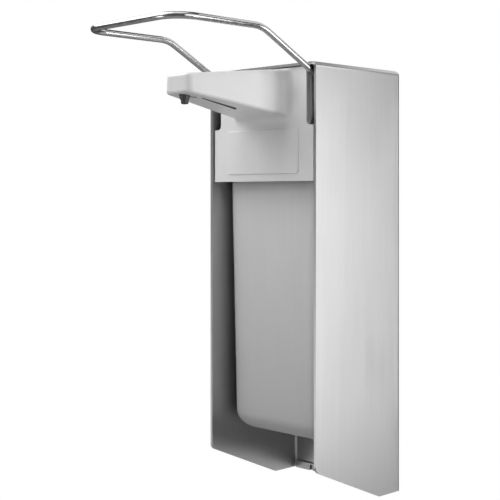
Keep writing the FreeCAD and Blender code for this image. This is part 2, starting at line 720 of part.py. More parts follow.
def make_nozzle_tip():
    """Soft outlet with a rounded end and a small bore."""
    bottom = z_at(D.nozzle_drop)
    top = z_at(D.outlet_end_drop + 0.05)
    body = turned("nozzle_tip", [
        (D.nozzle_bore, top), (D.nozzle_bore, bottom), (D.nozzle_radius, bottom), (D.nozzle_radius, top),
    ], ZERO, -D.nozzle_out)
    doc.recompute()
    end = bottom.value
    round_edges(body, "nozzle_rounding", body.Tip,
                lambda at, run: abs(at.z - end) < 0.01 and run.x > D.nozzle_radius.value * 1.9,
                D.nozzle_rounding)
    return body


def make_nozzle_sleeve():
    """Tapered collar in the arm's underside that holds the outlet."""
    inner = D.nozzle_radius + 0.02
    return turned("nozzle_sleeve", [
        (inner, z_at(D.sleeve_drop)), (D.sleeve_end_radius, z_at(D.sleeve_drop)),
        (D.sleeve_radius, z_at(D.arm_tip_drop)), (D.sleeve_radius, z_at(D.sleeve_top)),
        (inner, z_at(D.sleeve_top)),
    ], ZERO, -D.nozzle_out)


# ---- carrier and rails --------------------------------------------------------------------

def screw_places():
    """Where the four screws join the carrier's apron and lugs to the front plate."""
    places = []
    for sign in (-1, 1):
        for drop in (D.screw_upper_drop, D.screw_lower_drop):
            places.append((D.screw_offset * sign, z_at(drop)))
    return places


def make_carrier():
    body = new_body("pump_carrier")
    bottom = z_at(D.deck_drop)
    deck = new_sketch(body, "deck_outline", "XY_Plane", bottom)
    polygon(deck, [
        (-D.deck_half, -(D.deck_front_out - 3)), (-D.apron_half, -(D.deck_front_out - 3)),
        (-D.apron_half, -D.deck_front_out), (D.apron_half, -D.deck_front_out),
        (D.apron_half, -(D.deck_front_out - 3)), (D.deck_half, -(D.deck_front_out - 3)),
        (D.deck_half, -D.deck_rear_out), (D.tongue_half, -D.deck_rear_out),
        (D.tongue_half, -D.tongue_out), (-D.tongue_half, -D.tongue_out),
        (-D.tongue_half, -D.deck_rear_out), (-D.deck_half, -D.deck_rear_out),
    ])
    feature(body, "Pad", "deck", deck, D.deck_drop - D.deck_top)
    apron = new_sketch(body, "apron_outline", "XZ_Plane", D.deck_front_out - D.apron_gauge)
    rectangle(apron, -D.apron_half, z_at(D.apron_drop), D.apron_half, bottom)
    feature(body, "Pad", "apron", apron, D.apron_gauge)
    for side, low, high in (("left", -D.apron_half, -D.lug_inner), ("right", D.lug_inner, D.apron_half)):
        lug = new_sketch(body, f"{side}_lug_outline", "XZ_Plane", D.deck_front_out - D.apron_gauge)
        rectangle(lug, low, bottom, high, z_at(D.lug_top))
        feature(body, "Pad", f"{side}_lug", lug, D.apron_gauge)
    doc.recompute()
    bore = new_sketch(body, "carrier_bore_outline", "XY_Plane", bottom)
    circle(bore, ZERO, PUMP_Y, D.head_radius + 0.05)
    cut_by(body, feature(body, "Pocket", "carrier_bore", bore, D.deck_drop, midplane=True))
    drill = new_sketch(body, "carrier_drill_outline", "XZ_Plane", D.deck_front_out)
    for x, z in screw_places():
        circle(drill, x, z, D.screw_radius + 0.1)
    cut_by(body, feature(body, "Pocket", "carrier_drill", drill, D.apron_gauge * 4, midplane=True))
    return body


def make_carrier_screws():
    rear = D.deck_front_out - D.apron_gauge
    facing_front = Rotation(Vector(1, 0, 0), 90)
    screws = []
    for index, (x, z) in enumerate(screw_places(), start=1):
        shank = part_cylinder(f"screw_shank_{index}", D.screw_radius - 0.02,
                              D.apron_gauge + D.screw_bite, x, -rear, z, facing_front)
        head = part_cylinder(f"screw_head_{index}", D.screw_head_radius, D.screw_head_height,
                             x, -(rear - D.screw_head_height), z, facing_front)
        screws.append(fuse(f"carrier_screw_{index}", [shank, head]))
    return group("carrier_screws", screws)


def make_carrier_clip():
    """Open ring above the deck that hooks round the cylinder's head."""
    ring_body = ring("clip_ring", D.head_radius + 0.02, D.clip_radius, D.deck_top - D.clip_height,
                     D.deck_top, ZERO, PUMP_Y)
    opening = part_box("clip_opening", -(D.clip_gap / 2), PUMP_Y, z_at(D.deck_top) - 1,
                       D.clip_gap / 2, ZERO, z_at(D.deck_top) + D.clip_height + 1)
    return cut("carrier_clip", ring_body, opening)


def make_guide_rail(side, sign):
    """Channel on the inside of a cheek; the deck's edge runs in it."""
    body = new_body(f"{side}_guide_rail")
    wall = inner_half * sign
    web = (inner_half - D.rail_gauge) * sign
    lip = (inner_half - D.rail_lip - D.rail_gauge) * sign
    slot_low = z_at(D.deck_drop + D.rail_gap)
    slot_high = z_at(D.deck_top - D.rail_gap)
    sketch = new_sketch(body, f"{side}_rail_section", "XZ_Plane", D.rail_rear_out)
    polygon(sketch, [
        (wall, slot_low - D.rail_gauge), (lip, slot_low - D.rail_gauge), (lip, slot_low),
        (web, slot_low), (web, slot_high), (lip, slot_high), (lip, slot_high + D.rail_gauge),
        (wall, slot_high + D.rail_gauge),
    ])
    feature(body, "Pad", f"{side}_rail_run", sketch, D.rail_front_out - D.rail_rear_out)
    return body


# ---- pump ---------------------------------------------------------------------------------

def make_cylinder():
    """Barrel with its head and flange, and the riser beside it that leads up to the outlet."""
    barrel = turned("cylinder_barrel", [
        (D.recess_radius, z_at(D.head_top)), (D.head_radius, z_at(D.head_top)),
        (D.head_radius, z_at(D.flange_top)), (D.flange_radius, z_at(D.flange_top)),
        (D.flange_radius, z_at(D.flange_drop)), (D.barrel_radius, z_at(D.flange_drop)),
        (D.barrel_radius, z_at(D.barrel_drop)), (D.socket_radius, z_at(D.barrel_drop)),
        (D.socket_radius, z_at(D.socket_drop)), (D.dip_radius + 0.02, z_at(D.socket_drop)),
        (D.dip_radius + 0.02, z_at(D.tube_stop_drop)), (D.seat_hole, z_at(D.tube_stop_drop)),
        (D.seat_hole, z_at(D.seat_hole_drop)), (D.seat_radius, z_at(D.barrel_floor)),
        (D.bore_radius, z_at(D.barrel_floor)), (D.bore_radius, z_at(D.bush_seat_drop)),
        (D.bush_seat_radius, z_at(D.bush_seat_drop)), (D.bush_seat_radius, z_at(D.recess_drop)),
        (D.recess_radius, z_at(D.recess_drop)),
    ], ZERO, PUMP_Y)
    riser = part_cylinder("riser_tube", D.riser_radius, D.barrel_drop - D.flange_top,
                          ZERO, RISER_Y, z_at(D.barrel_drop))
    web = part_box("riser_web", -(D.riser_radius * 0.8), RISER_Y, z_at(D.barrel_drop),
                   D.riser_radius * 0.8, -(D.pump_out + D.bore_radius + 0.8),
                   z_at(D.port_drop - 3.2))
    solid = fuse("cylinder_solid", [barrel, riser, web])
    riser_bore = part_cylinder("riser_bore", D.riser_bore, D.port_drop - D.head_top + 3,
                               ZERO, RISER_Y, z_at(D.port_drop + 1.6))
    port = part_cylinder("riser_port", D.riser_bore * 0.9, D.riser_forward - 2,
                         ZERO, -(D.pump_out + 2), z_at(D.port_drop), Rotation(Vector(1, 0, 0), 90))
    return cut("pump_cylinder", solid, fuse("cylinder_ways", [riser_bore, port]))


def make_guide_bush():
    seal_radius = D.piston_rod_radius + 2
    bore = D.piston_rod_radius + 0.05
    top = z_at(D.recess_drop + 0.1)
    bottom = z_at(D.bush_seat_drop)
    return turned("guide_bush", [
        (bore, top), (D.bush_seat_radius - 0.02, top), (D.bush_seat_radius - 0.02, bottom),
        (seal_radius, bottom), (seal_radius, bottom + 1.2), (bore, bottom + 1.2),
    ], ZERO, PUMP_Y)


def make_rod_seal():
    return ring("rod_seal", D.piston_rod_radius + 0.03, D.piston_rod_radius + 1.98,
                D.bush_seat_drop - 1.15, D.bush_seat_drop, ZERO, PUMP_Y)


def make_valve_cage():
    """Slotted cup over the suction ball, inside the return spring."""
    floor = z_at(D.barrel_floor)
    top = z_at(D.cage_top)
    roof = top - 0.8
    body = turned("valve_cage", [
        (D.cage_inner, floor), (D.cage_outer, floor), (D.cage_outer, top), (D.cage_hole, top),
        (D.cage_hole, roof), (D.cage_inner, roof),
    ], ZERO, PUMP_Y)
    half_slot = D.cage_hole / 2
    for role in ("XZ_Plane", "YZ_Plane"):
        slot = new_sketch(body, "cage_slot_" + role[:2], role)
        rectangle(slot, -half_slot, floor + 0.8, half_slot, roof - 0.8)
        cut_by(body, feature(body, "Pocket", "cage_cut_" + role[:2], slot, D.cage_outer * 4, midplane=True))
    return body


def make_discharge_valve():
    return turned("discharge_valve_body", [
        (D.valve_hole, z_at(D.head_top)), (D.valve_radius, z_at(D.head_top)),
        (D.valve_radius, z_at(D.valve_top)), (D.valve_bore, z_at(D.valve_top)),
        (D.valve_bore, z_at(D.valve_cone_drop)), (D.valve_hole, z_at(D.valve_hole_drop)),
    ], ZERO, RISER_Y)


def make_ball(name, radius, drop, y):
    ball = doc.addObject("Part::Sphere", name)
    ball.Label = name
    bind(ball, "Radius", radius)
    place(ball, ZERO, y, z_at(drop))
    return ball


def make_dip_tube():
    """Tube to the foot of the bottle, its end cut on the slant."""
    body = ring("dip_tube", D.dip_bore, D.dip_radius, D.tube_stop_drop + 0.1, D.dip_drop, ZERO, PUMP_Y)
    reach = D.dip_radius + 1
    end = z_at(D.dip_drop)
    slant = new_sketch(body, "dip_slant", "XZ_Plane")
    polygon(slant, [(-reach, end - 1), (reach, end - 1), (reach, end + D.dip_radius * 1.4)])
    cut_by(body, feature(body, "Pocket", "dip_end", slant, reach * 4, midplane=True))
    return body


def make_return_spring():
    wire = D.spring_wire
    height = D.barrel_floor - (D.piston_drop + D.piston_height) - wire - 0.2
    coil = doc.addObject("Part::Helix", "spring_line")
    bind(coil, "Radius", D.spring_radius)
    bind(coil, "Height", height)
    bind(coil, "Pitch", height / D.spring_turns)
    section = doc.addObject("Part::Circle", "spring_section")
    bind(section, "Radius", wire / 2)
    section.Placement = Placement(Vector(D.spring_radius.value, 0, 0), Rotation(Vector(1, 0, 0), 90))
    spring = doc.addObject("Part::Sweep", "return_spring")
    spring.Label = "return_spring"
    spring.Sections = [section]
    spring.Spine = (coil, ["Edge1"])
    spring.Solid = True
    spring.Frenet = True
    place(spring, ZERO, PUMP_Y, z_at(D.barrel_floor - wire / 2 - 0.1))
    return spring


def make_plunger_head():
    top = z_at(D.plunger_drop)
    bottom = z_at(D.plunger_drop + D.plunger_height)
    bore = D.piston_rod_radius + 0.02
    return turned("plunger_head", [
        (ZERO, top), (D.plunger_radius - 1, top), (D.plunger_radius, top - 1),
        (D.plunger_radius, bottom), (bore, bottom), (bore, z_at(D.piston_rod_top) + 0.05),
        (ZERO, z_at(D.piston_rod_top) + 0.05),
    ], ZERO, PUMP_Y)


def make_piston_rod():
    top = z_at(D.piston_rod_top)
    return turned("piston_rod", [
        (ZERO, top), (D.piston_rod_radius - 0.4, top), (D.piston_rod_radius, top - 0.4),
        (D.piston_rod_radius, z_at(D.piston_drop + 3)), (ZERO, z_at(D.piston_drop + 3)),
    ], ZERO, PUMP_Y)


def make_piston():
    top = z_at(D.piston_drop)
    bottom = z_at(D.piston_drop + D.piston_height)
    bore = D.piston_rod_radius + 0.02
    socket = z_at(D.piston_drop + 3) - 0.05
    return turned("piston", [
        (bore, top), (D.piston_radius, top), (D.piston_radius, top - 2), (D.seal_root, top - 2),
        (D.seal_root, bottom + 2), (D.piston_radius, bottom + 2), (D.piston_radius, bottom),
        (ZERO, bottom), (ZERO, socket), (bore, socket),
    ], ZERO, PUMP_Y)


def make_piston_seal():
    return ring("piston_seal", D.seal_root + 0.02, D.seal_radius, D.piston_drop + 2.05,
                D.piston_drop + D.piston_height - 2.05, ZERO, PUMP_Y)


def make_collar_nut():
    """Cap nut with a lip over the cylinder's flange and grips round its skirt."""
    body = turned("collar_nut", [
        (D.nut_lip_inner, z_at(D.nut_top)), (D.nut_radius - 1, z_at(D.nut_top)),
        (D.nut_radius, z_at(D.nut_top) - 1), (D.nut_radius, z_at(D.nut_drop)),
        (D.nut_inner, z_at(D.nut_drop)), (D.nut_inner, z_at(D.nut_lip_drop)),
        (D.nut_lip_inner, z_at(D.nut_lip_drop)),
    ], ZERO, PUMP_Y)
    doc.recompute()
    sketch = new_sketch(body, "grip_outline", "XY_Plane", z_at(D.nut_drop) - 1)
    circle(sketch, D.nut_radius + 0.5, ZERO, D.grip_radius)
    grip = cut_by(body, feature(body, "Pocket", "grip", sketch, D.nut_drop - D.nut_top - 1,
                                reverse=True))
    grips = body.newObject("PartDesign::PolarPattern", "grips")
    grips.Originals = [grip]
    grips.Axis = (sketch, ["N_Axis"])
    grips.Angle = 360
    bind(grips, "Occurrences", D.nut_grips)
    body.Tip = grips
    return body


# ---- bottle -------------------------------------------------------------------------------

def bottle_block(name, inset, neck_size, past):
    """A closed bottle form drawn in by an inset; its neck ends this far past the bottle's mouth."""
    body = new_body(name)
    sections = []
    levels = (
        ("shoulder", D.bottle_shoulder_drop, D.bottle_half, D.bottle_front_out, D.bottle_rear_out),
        ("foot", D.bottle_foot_drop, D.bottle_foot_half, D.bottle_foot_front_out, D.bottle_foot_rear_out),
    )
    for level, drop, half, front, rear in levels:
        height = z_at(drop) - inset if level == "shoulder" else z_at(drop) + inset
        sketch = new_sketch(body, f"{name}_{level}", "XY_Plane", height)
        rectangle(sketch, -(half - inset), -(front - inset), half - inset, -(rear + inset))
        sections.append(sketch)
    doc.recompute()
    loft = body.newObject("PartDesign::AdditiveLoft", name + "_sides")
    loft.Profile = sections[0]
    loft.Sections = [sections[1]]
    loft.Ruled = True
    corners = round_edges(body, name + "_corners", loft, lambda at, run: run.z > 50,
                          D.bottle_corner_radius - inset)
    shoulder = z_at(D.bottle_shoulder_drop).value - inset.value
    foot = z_at(D.bottle_foot_drop).value + inset.value
    round_edges(body, name + "_foot_round", corners,
                lambda at, run: abs(at.z - foot) < 0.05, D.bottle_foot_radius - inset)
    footed = body.Tip
    round_edges(body, name + "_shoulder_round", footed,
                lambda at, run: abs(at.z - shoulder) < 0.05, D.bottle_shoulder_radius - inset)
    neck = new_sketch(body, name + "_neck_outline", "XY_Plane", z_at(D.bottle_shoulder_drop) - 3)
    circle(neck, ZERO, PUMP_Y, neck_size)
    feature(body, "Pad", name + "_neck", neck, D.bottle_shoulder_drop - D.neck_top + 3 + past)
    return body


def make_bottle():
    outer = bottle_block("bottle_outer", ZERO, D.neck_radius, 0)
    inner = bottle_block("bottle_inner", D.bottle_wall, D.neck_radius - D.neck_wall, 1)
    return cut("bottle", outer, inner)


# ---- assembly -----------------------------------------------------------------------------

def make_all():
    parts = [make_housing(), make_hook_rail(), make_bearing_bracket(), make_journal_clips()]
    for side, sign in (("left", -1), ("right", 1)):
        parts.append(make_bearing_bush(side, sign))
        parts.append(make_guide_rail(side, sign))
    parts += [make_lever_bow(), make_yoke(), make_yoke_set_screws(), make_presser_pad()]
    parts += [make_pump_front(), make_channel_cover(), make_outlet_tube()]
    parts += [make_nozzle_tip(), make_nozzle_sleeve()]
    parts += [make_carrier(), make_carrier_screws(), make_carrier_clip()]
    parts += [make_cylinder(), make_guide_bush(), make_rod_seal(), make_discharge_valve()]
    parts.append(ring("neck_gasket", D.gasket_inner, D.gasket_outer, D.flange_drop, D.gasket_drop,
                      ZERO, PUMP_Y))
    parts.append(make_ball("suction_ball", D.suction_ball_radius, D.suction_ball_drop, PUMP_Y))
    parts.append(make_ball("discharge_ball", D.discharge_ball_radius, D.discharge_ball_drop, RISER_Y))
    parts += [make_dip_tube(), make_return_spring(), make_valve_cage()]
    parts += [make_plunger_head(), make_piston_rod(), make_piston(), make_piston_seal()]
    parts += [make_collar_nut(), make_bottle()]
    return parts


def check_document():
    for item in doc.Objects:
        if "Invalid" in item.State or "Error" in item.State:
            raise RuntimeError(f"{item.Label} failed: {item.State}")


def check_part(part):
    shape = part.Shape
    if shape.isNull() or not shape.isValid() or not shape.Solids:
        raise RuntimeError(f"{part.Label} has no valid solid")


parts = make_all()
doc.recompute()
check_document()
os.makedirs("parts", exist_ok=True)
for part in parts:
    check_part(part)
for part in parts:
    part.Shape.exportStep(f"parts/{part.Label}.step")
    print(f"{part.Label}: {len(part.Shape.Solids)} solid(s), {part.Shape.Volume:.0f} mm3")
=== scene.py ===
import json
import math

import bmesh
import bpy
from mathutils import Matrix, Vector


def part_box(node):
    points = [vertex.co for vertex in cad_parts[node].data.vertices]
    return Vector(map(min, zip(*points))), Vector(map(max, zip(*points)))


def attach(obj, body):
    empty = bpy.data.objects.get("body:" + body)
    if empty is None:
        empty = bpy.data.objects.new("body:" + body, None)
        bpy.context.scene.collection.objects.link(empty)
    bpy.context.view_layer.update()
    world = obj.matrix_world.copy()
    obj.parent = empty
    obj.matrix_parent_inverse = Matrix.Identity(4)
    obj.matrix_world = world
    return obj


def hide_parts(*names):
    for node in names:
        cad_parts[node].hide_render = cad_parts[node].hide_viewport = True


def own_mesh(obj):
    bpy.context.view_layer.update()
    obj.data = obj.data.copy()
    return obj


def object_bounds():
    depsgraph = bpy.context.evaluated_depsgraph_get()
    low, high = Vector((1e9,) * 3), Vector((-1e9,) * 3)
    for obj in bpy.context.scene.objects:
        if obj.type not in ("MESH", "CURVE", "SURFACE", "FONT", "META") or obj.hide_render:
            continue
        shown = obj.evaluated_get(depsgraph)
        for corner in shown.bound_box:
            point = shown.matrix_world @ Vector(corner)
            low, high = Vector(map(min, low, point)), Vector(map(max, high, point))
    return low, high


# Looks of an arm-lever soap dispenser: materials for the imported nodes, a blown bottle and a coil
# spring in place of the plain ones, a parting seam, a dark strip as painted shadow in the gap under the
# spout arm, two notch rims, and a white studio.
# Lengths are in metres; MM turns millimetres into them.

MM = 0.001

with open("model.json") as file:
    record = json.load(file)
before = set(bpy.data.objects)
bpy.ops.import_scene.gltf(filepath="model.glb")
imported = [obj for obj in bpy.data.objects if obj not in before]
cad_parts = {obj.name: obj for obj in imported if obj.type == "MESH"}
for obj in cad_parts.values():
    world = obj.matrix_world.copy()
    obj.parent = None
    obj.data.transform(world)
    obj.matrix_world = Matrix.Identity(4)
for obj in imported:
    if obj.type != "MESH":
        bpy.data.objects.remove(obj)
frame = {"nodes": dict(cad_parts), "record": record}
cad_low, cad_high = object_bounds()


def gap_between(low, high, share):
    """The value at a share of the way from low to high."""
    return low + (high - low) * share


# ---- node tree helpers --------------------------------------------------------------------

# Input and output numbers of a Mix node, which has a set of sockets for each kind of value.
MIX_SOCKETS = {"FLOAT": (2, 3, 0), "VECTOR": (4, 5, 1), "RGBA": (6, 7, 2)}


def add_node(tree, kind, **settings):
    """A shader node with its properties and unlinked inputs set by name."""
    node = tree.nodes.new("ShaderNode" + kind)
    for name, value in settings.items():
        if name in node.inputs:
            node.inputs[name].default_value = value
        else:
            setattr(node, name, value)
    return node


def new_material(name, metal, subsurface=0.0, scatter=None, anisotropy=0.0):
    """A Principled material with its even values set on the shader itself.

    scatter is the length of the subsurface scattering and its share per colour.
    """
    made = bpy.data.materials.new(name)
    made.use_nodes = True
    shader = made.node_tree.nodes["Principled BSDF"]
    shader.inputs["Metallic"].default_value = metal
    shader.inputs["Subsurface Weight"].default_value = subsurface
    shader.inputs["Anisotropic"].default_value = anisotropy
    if scatter:
        length, share = scatter
        shader.inputs["Subsurface Radius"].default_value = (share, share, share)
        shader.inputs["Subsurface Scale"].default_value = length
    return made, made.node_tree, shader


def stretched_noise(tree, source, scale, detail=3.0, roughness=0.6):
    """Noise over the object's own coordinates, scaled per axis in features per metre."""
    mapping = add_node(tree, "Mapping")
    mapping.inputs["Scale"].default_value = scale
    tree.links.new(source, mapping.inputs["Vector"])
    noise = add_node(tree, "TexNoise", Scale=1.0, Detail=detail, Roughness=roughness)
    tree.links.new(mapping.outputs["Vector"], noise.inputs["Vector"])
    return noise.outputs["Fac"]


def remapped(tree, value, low, high, from_low=0.3, from_high=0.7):
    """A value spread over low to high; the usual source range is where noise mostly lies."""
    ranged = add_node(tree, "MapRange")
    ends = {"From Min": from_low, "From Max": from_high, "To Min": low, "To Max": high}
    for name, number in ends.items():
        ranged.inputs[name].default_value = number
    tree.links.new(value, ranged.inputs["Value"])
    return ranged.outputs["Result"]


def mixed(tree, kind, factor, first, second):
    """A Mix node of one kind; factor is a socket, first and second are colours or sockets."""
    first_input, second_input, output = MIX_SOCKETS[kind]
    mix = add_node(tree, "Mix", data_type=kind)
    tree.links.new(factor, mix.inputs[0])
    for index, item in ((first_input, first), (second_input, second)):
        if isinstance(item, bpy.types.NodeSocket):
            tree.links.new(item, mix.inputs[index])
        else:
            mix.inputs[index].default_value = (*item, 1.0)
    return mix.outputs[output]


def computed(tree, operation, first, second):
    """A Math node; first is a socket, second a number or a socket."""
    node = add_node(tree, "Math", operation=operation)
    for index, item in enumerate((first, second)):
        if isinstance(item, bpy.types.NodeSocket):
            tree.links.new(item, node.inputs[index])
        else:
            node.inputs[index].default_value = item
    return node.outputs[0]


def axes(tree, source):
    """The X, Y and Z of a vector as separate outputs."""
    split = add_node(tree, "SeparateXYZ")
    tree.links.new(source, split.inputs[0])
    return split.outputs


def proportioned(tree, first, second, share):
    """Two values added in proportion: this share of the first and the rest of the second."""
    return computed(tree, "ADD", computed(tree, "MULTIPLY", first, share),
                    computed(tree, "MULTIPLY", second, 1.0 - share))


def bumped(tree, shader, height, depth):
    """Fine relief of a depth in metres, from a value of 0 to 1."""
    bump = add_node(tree, "Bump", Strength=1.0, Distance=depth)
    tree.links.new(height, bump.inputs["Height"])
    tree.links.new(bump.outputs["Normal"], shader.inputs["Normal"])


def object_coordinates(tree):
    return add_node(tree, "TexCoord").outputs["Object"]


# ---- materials ----------------------------------------------------------------------------

# Parts of a noise's range, for marks that cover only some of a surface: broad stains and spots.
STAINS = (0.45, 0.75)
SPOTS = (0.5, 0.8)


def brushed_steel(name, tone, rough):
    """Sheet brushed upright on its walls and front to back on its top, with faint smudges."""
    steep = 0.6
    fine_across, fine_along, fine_share = 5200.0, 36.0, 0.62
    broad_across, broad_along = 900.0, 9.0
    smudge_size, smudge_colour = (24.0, 24.0, 15.0), (0.35, 0.35, 0.34)
    smudge_cover, smudge_dulling = 0.07, 0.05
    scratch_depth = 0.000006
    made, tree, shader = new_material(name, metal=1.0, anisotropy=0.55)
    coords = add_node(tree, "TexCoord")
    place = coords.outputs["Object"]
    upward = computed(tree, "ABSOLUTE", axes(tree, coords.outputs["Normal"])["Z"], 0.0)
    level = computed(tree, "GREATER_THAN", upward, steep)

    def grain(across, along):
        upright = stretched_noise(tree, place, (across, across, along))
        flat = stretched_noise(tree, place, (across, along, across))
        return mixed(tree, "FLOAT", level, upright, flat)

    fine = grain(fine_across, fine_along)
    broad = grain(broad_across, broad_along)
    both = proportioned(tree, fine, broad, fine_share)
    dark = [tone * 0.93] * 3
    light = [min(1.0, tone * 1.05)] * 2 + [min(1.0, tone * 1.06)]
    colour = mixed(tree, "RGBA", remapped(tree, both, 0.0, 1.0), dark, light)
    smudge = stretched_noise(tree, place, smudge_size, detail=2.0)
    cover = remapped(tree, smudge, 0.0, smudge_cover, *STAINS)
    colour = mixed(tree, "RGBA", cover, colour, smudge_colour)
    tree.links.new(colour, shader.inputs["Base Color"])
    worn = computed(tree, "ADD", remapped(tree, both, rough - 0.03, rough + 0.06),
                    remapped(tree, smudge, 0.0, smudge_dulling, 0.4, 0.75))
    tree.links.new(worn, shader.inputs["Roughness"])
    around = add_node(tree, "Tangent", direction_type="RADIAL", axis="Z").outputs["Tangent"]
    along_top = add_node(tree, "Tangent", direction_type="RADIAL", axis="X").outputs["Tangent"]
    tree.links.new(mixed(tree, "VECTOR", level, around, along_top), shader.inputs["Tangent"])
    bumped(tree, shader, both, scratch_depth)
    return made


def plain_metal(name, tone, rough, grain=(900.0, 900.0, 900.0), depth=0.000006, tint=(1.0, 1.0, 1.0)):
    """Turned, drawn, plated or cast metal with a fine surface grain and small dull marks."""
    mark_size = 70.0
    made, tree, shader = new_material(name, metal=1.0)
    place = object_coordinates(tree)
    fine = stretched_noise(tree, place, grain)
    marks = stretched_noise(tree, place, (mark_size,) * 3, detail=4.0)
    dark = [tone * 0.86 * share for share in tint]
    light = [min(1.0, tone * 1.05 * share) for share in tint]
    colour = mixed(tree, "RGBA", remapped(tree, fine, 0.0, 1.0), dark, light)
    tree.links.new(colour, shader.inputs["Base Color"])
    worn = computed(tree, "ADD", remapped(tree, fine, rough * 0.85, rough * 1.2),
                    remapped(tree, marks, 0.0, rough * 0.6, *SPOTS))
    tree.links.new(worn, shader.inputs["Roughness"])
    bumped(tree, shader, fine, depth)
    return made


def moulded(name, colour, rough, subsurface=0.0, texture=1500.0, depth=0.00001):
    """Injection moulded plastic or rubber: fine spark texture, soft mottling and a little grime."""
    cloud_size = (55.0, 55.0, 40.0)
    grime_cover = 0.05
    made, tree, shader = new_material(name, metal=0.0, subsurface=subsurface, scatter=(0.002, 0.6))
    place = object_coordinates(tree)
    spark = stretched_noise(tree, place, (texture,) * 3, detail=2.0)
    cloud = stretched_noise(tree, place, cloud_size)
    lighter = [min(1.0, part * 1.025) for part in colour]
    darker = [part * 0.965 for part in colour]
    dirty = [part * 0.6 for part in colour]
    base = mixed(tree, "RGBA", remapped(tree, cloud, 0.0, 1.0), darker, lighter)
    base = mixed(tree, "RGBA", remapped(tree, spark, 0.0, grime_cover, *SPOTS), base, dirty)
    tree.links.new(base, shader.inputs["Base Color"])
    worn = computed(tree, "ADD", remapped(tree, spark, rough * 0.92, rough * 1.10),
                    remapped(tree, cloud, 0.0, rough * 0.18, *STAINS))
    tree.links.new(worn, shader.inputs["Roughness"])
    bumped(tree, shader, spark, depth)
    return made


def blown_bottle(name):
    """Milky blown plastic: faint upright flow lines, an orange-peeled skin, and painted shade that
    darkens it towards its foot.
    """
    flow_size, peel_size, cloud_size = (420.0, 420.0, 14.0), (620.0,) * 3, (26.0, 26.0, 16.0)
    darker, lighter = (0.595, 0.595, 0.595), (0.635, 0.635, 0.633)
    line_colour, line_cover = (0.50, 0.50, 0.50), 0.16
    # painted shade: a darker colour for the lower part of the bottle, where less light falls
    painted_shade_colour, painted_shade_from, painted_shade_to = (0.43, 0.43, 0.43), -90 * MM, 30 * MM
    peel_share, peel_depth = 0.6, 0.00003
    made, tree, shader = new_material(name, metal=0.0, subsurface=0.25, scatter=(0.003, 1.0))
    place = object_coordinates(tree)
    flow = stretched_noise(tree, place, flow_size)
    peel = stretched_noise(tree, place, peel_size, detail=2.0)
    cloud = stretched_noise(tree, place, cloud_size, detail=2.0)
    base = mixed(tree, "RGBA", remapped(tree, cloud, 0.0, 1.0), darker, lighter)
    base = mixed(tree, "RGBA", remapped(tree, flow, 0.0, line_cover), base, line_colour)
    # painted shade, mixed in more strongly the lower down the bottle
    painted_shade_share = remapped(tree, axes(tree, place)["Z"], 1.0, 0.0, painted_shade_from, painted_shade_to)
    base = mixed(tree, "RGBA", painted_shade_share, base, painted_shade_colour)
    tree.links.new(base, shader.inputs["Base Color"])
    tree.links.new(remapped(tree, flow, 0.40, 0.54), shader.inputs["Roughness"])
    bumped(tree, shader, proportioned(tree, peel, flow, peel_share), peel_depth)
    return made


LOOKS = {
    "brushed_steel": brushed_steel("brushed_steel", tone=0.53, rough=0.34),
    "polished_steel": plain_metal("polished_steel", tone=0.50, rough=0.15, grain=(300.0, 300.0, 300.0),
                                  depth=0.000002),
    "zinc_steel": plain_metal("zinc_steel", tone=0.58, rough=0.32, tint=(0.97, 0.99, 1.0)),
    "yoke_casting": plain_metal("yoke_casting", tone=0.50, rough=0.46, grain=(1400.0,) * 3,
                                depth=0.00003),
    "slide_plastic": moulded("slide_plastic", (0.83, 0.83, 0.80), 0.42, subsurface=0.1),
    "pump_plastic": moulded("pump_plastic", (0.71, 0.705, 0.71), 0.36, subsurface=0.05, texture=1900.0,
                            depth=0.000007),
    "carrier_plastic": moulded("carrier_plastic", (0.60, 0.61, 0.62), 0.50, texture=1200.0,
                               depth=0.00002),
    "tube_steel": plain_metal("tube_steel", tone=0.66, rough=0.22, grain=(1500.0, 1500.0, 60.0)),
    "seal_rubber": moulded("seal_rubber", (0.045, 0.045, 0.047), 0.66, depth=0.00003),
    "nozzle_rubber": moulded("nozzle_rubber", (0.05, 0.05, 0.053), 0.50, depth=0.00002),
    "dip_plastic": moulded("dip_plastic", (0.80, 0.80, 0.77), 0.38, subsurface=0.3),
    "bottle_plastic": blown_bottle("bottle_plastic"),
}


def dress(thing, slot):
    """Give a node the look of its material slot, and nothing else."""
    thing.data.materials.clear()
    thing.data.materials.append(LOOKS[slot])


def soften(node, width, segments=2):
    """Break the sharp edges of a carried-over node with a small rounded bevel."""
    join_within = 0.0015 * MM
    sharper_than = 38.0
    weld = node.modifiers.new("weld", "WELD")
    weld.merge_threshold = join_within
    bevel = node.modifiers.new("bevel", "BEVEL")
    bevel.width = width
    bevel.segments = segments
    bevel.limit_method = "ANGLE"
    bevel.angle_limit = math.radians(sharper_than)
    bevel.harden_normals = True
    bevel.use_clamp_overlap = True


SLOTS = {row["node"]: row["material_slot"] for row in frame["record"]["subparts"]}
for node, slot in SLOTS.items():
    dress(frame["nodes"][node], slot)


# ---- bottle -------------------------------------------------------------------------------

bottle_low, bottle_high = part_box("bottle")
nut_low, nut_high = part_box("collar_nut")

# The neck is on the axis of the collar nut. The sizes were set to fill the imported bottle's form; the
# raised base, the shoulder's tighter corners and the rounded lip are this bottle's own.
NECK_X = (nut_low.x + nut_high.x) / 2
NECK_Y = (nut_low.y + nut_high.y) / 2
NECK_RADIUS = 21.0 * MM
NECK_BORE = 18.8 * MM
SHOULDER_Z = bottle_high.z - 6.85 * MM
SKIN = 1.2 * MM
RING_POINTS = 176
ROUND_STEPS = 8
SIDE_STEPS = 25
CORNER = 10.5 * MM
FOOT_CORNER_SHARE = 0.5
TOP_CORNER_SHARE = 0.7
FOOT_ROUND = 10.0 * MM
TOP_ROUND = 6.0 * MM
FOOT_TAPER = (2.4 * MM, 1.9 * MM, 1.2 * MM)
PUNT = 3.2 * MM
LEAST_CORNER = 0.5 * MM
LIP_HALF = 0.5 * MM


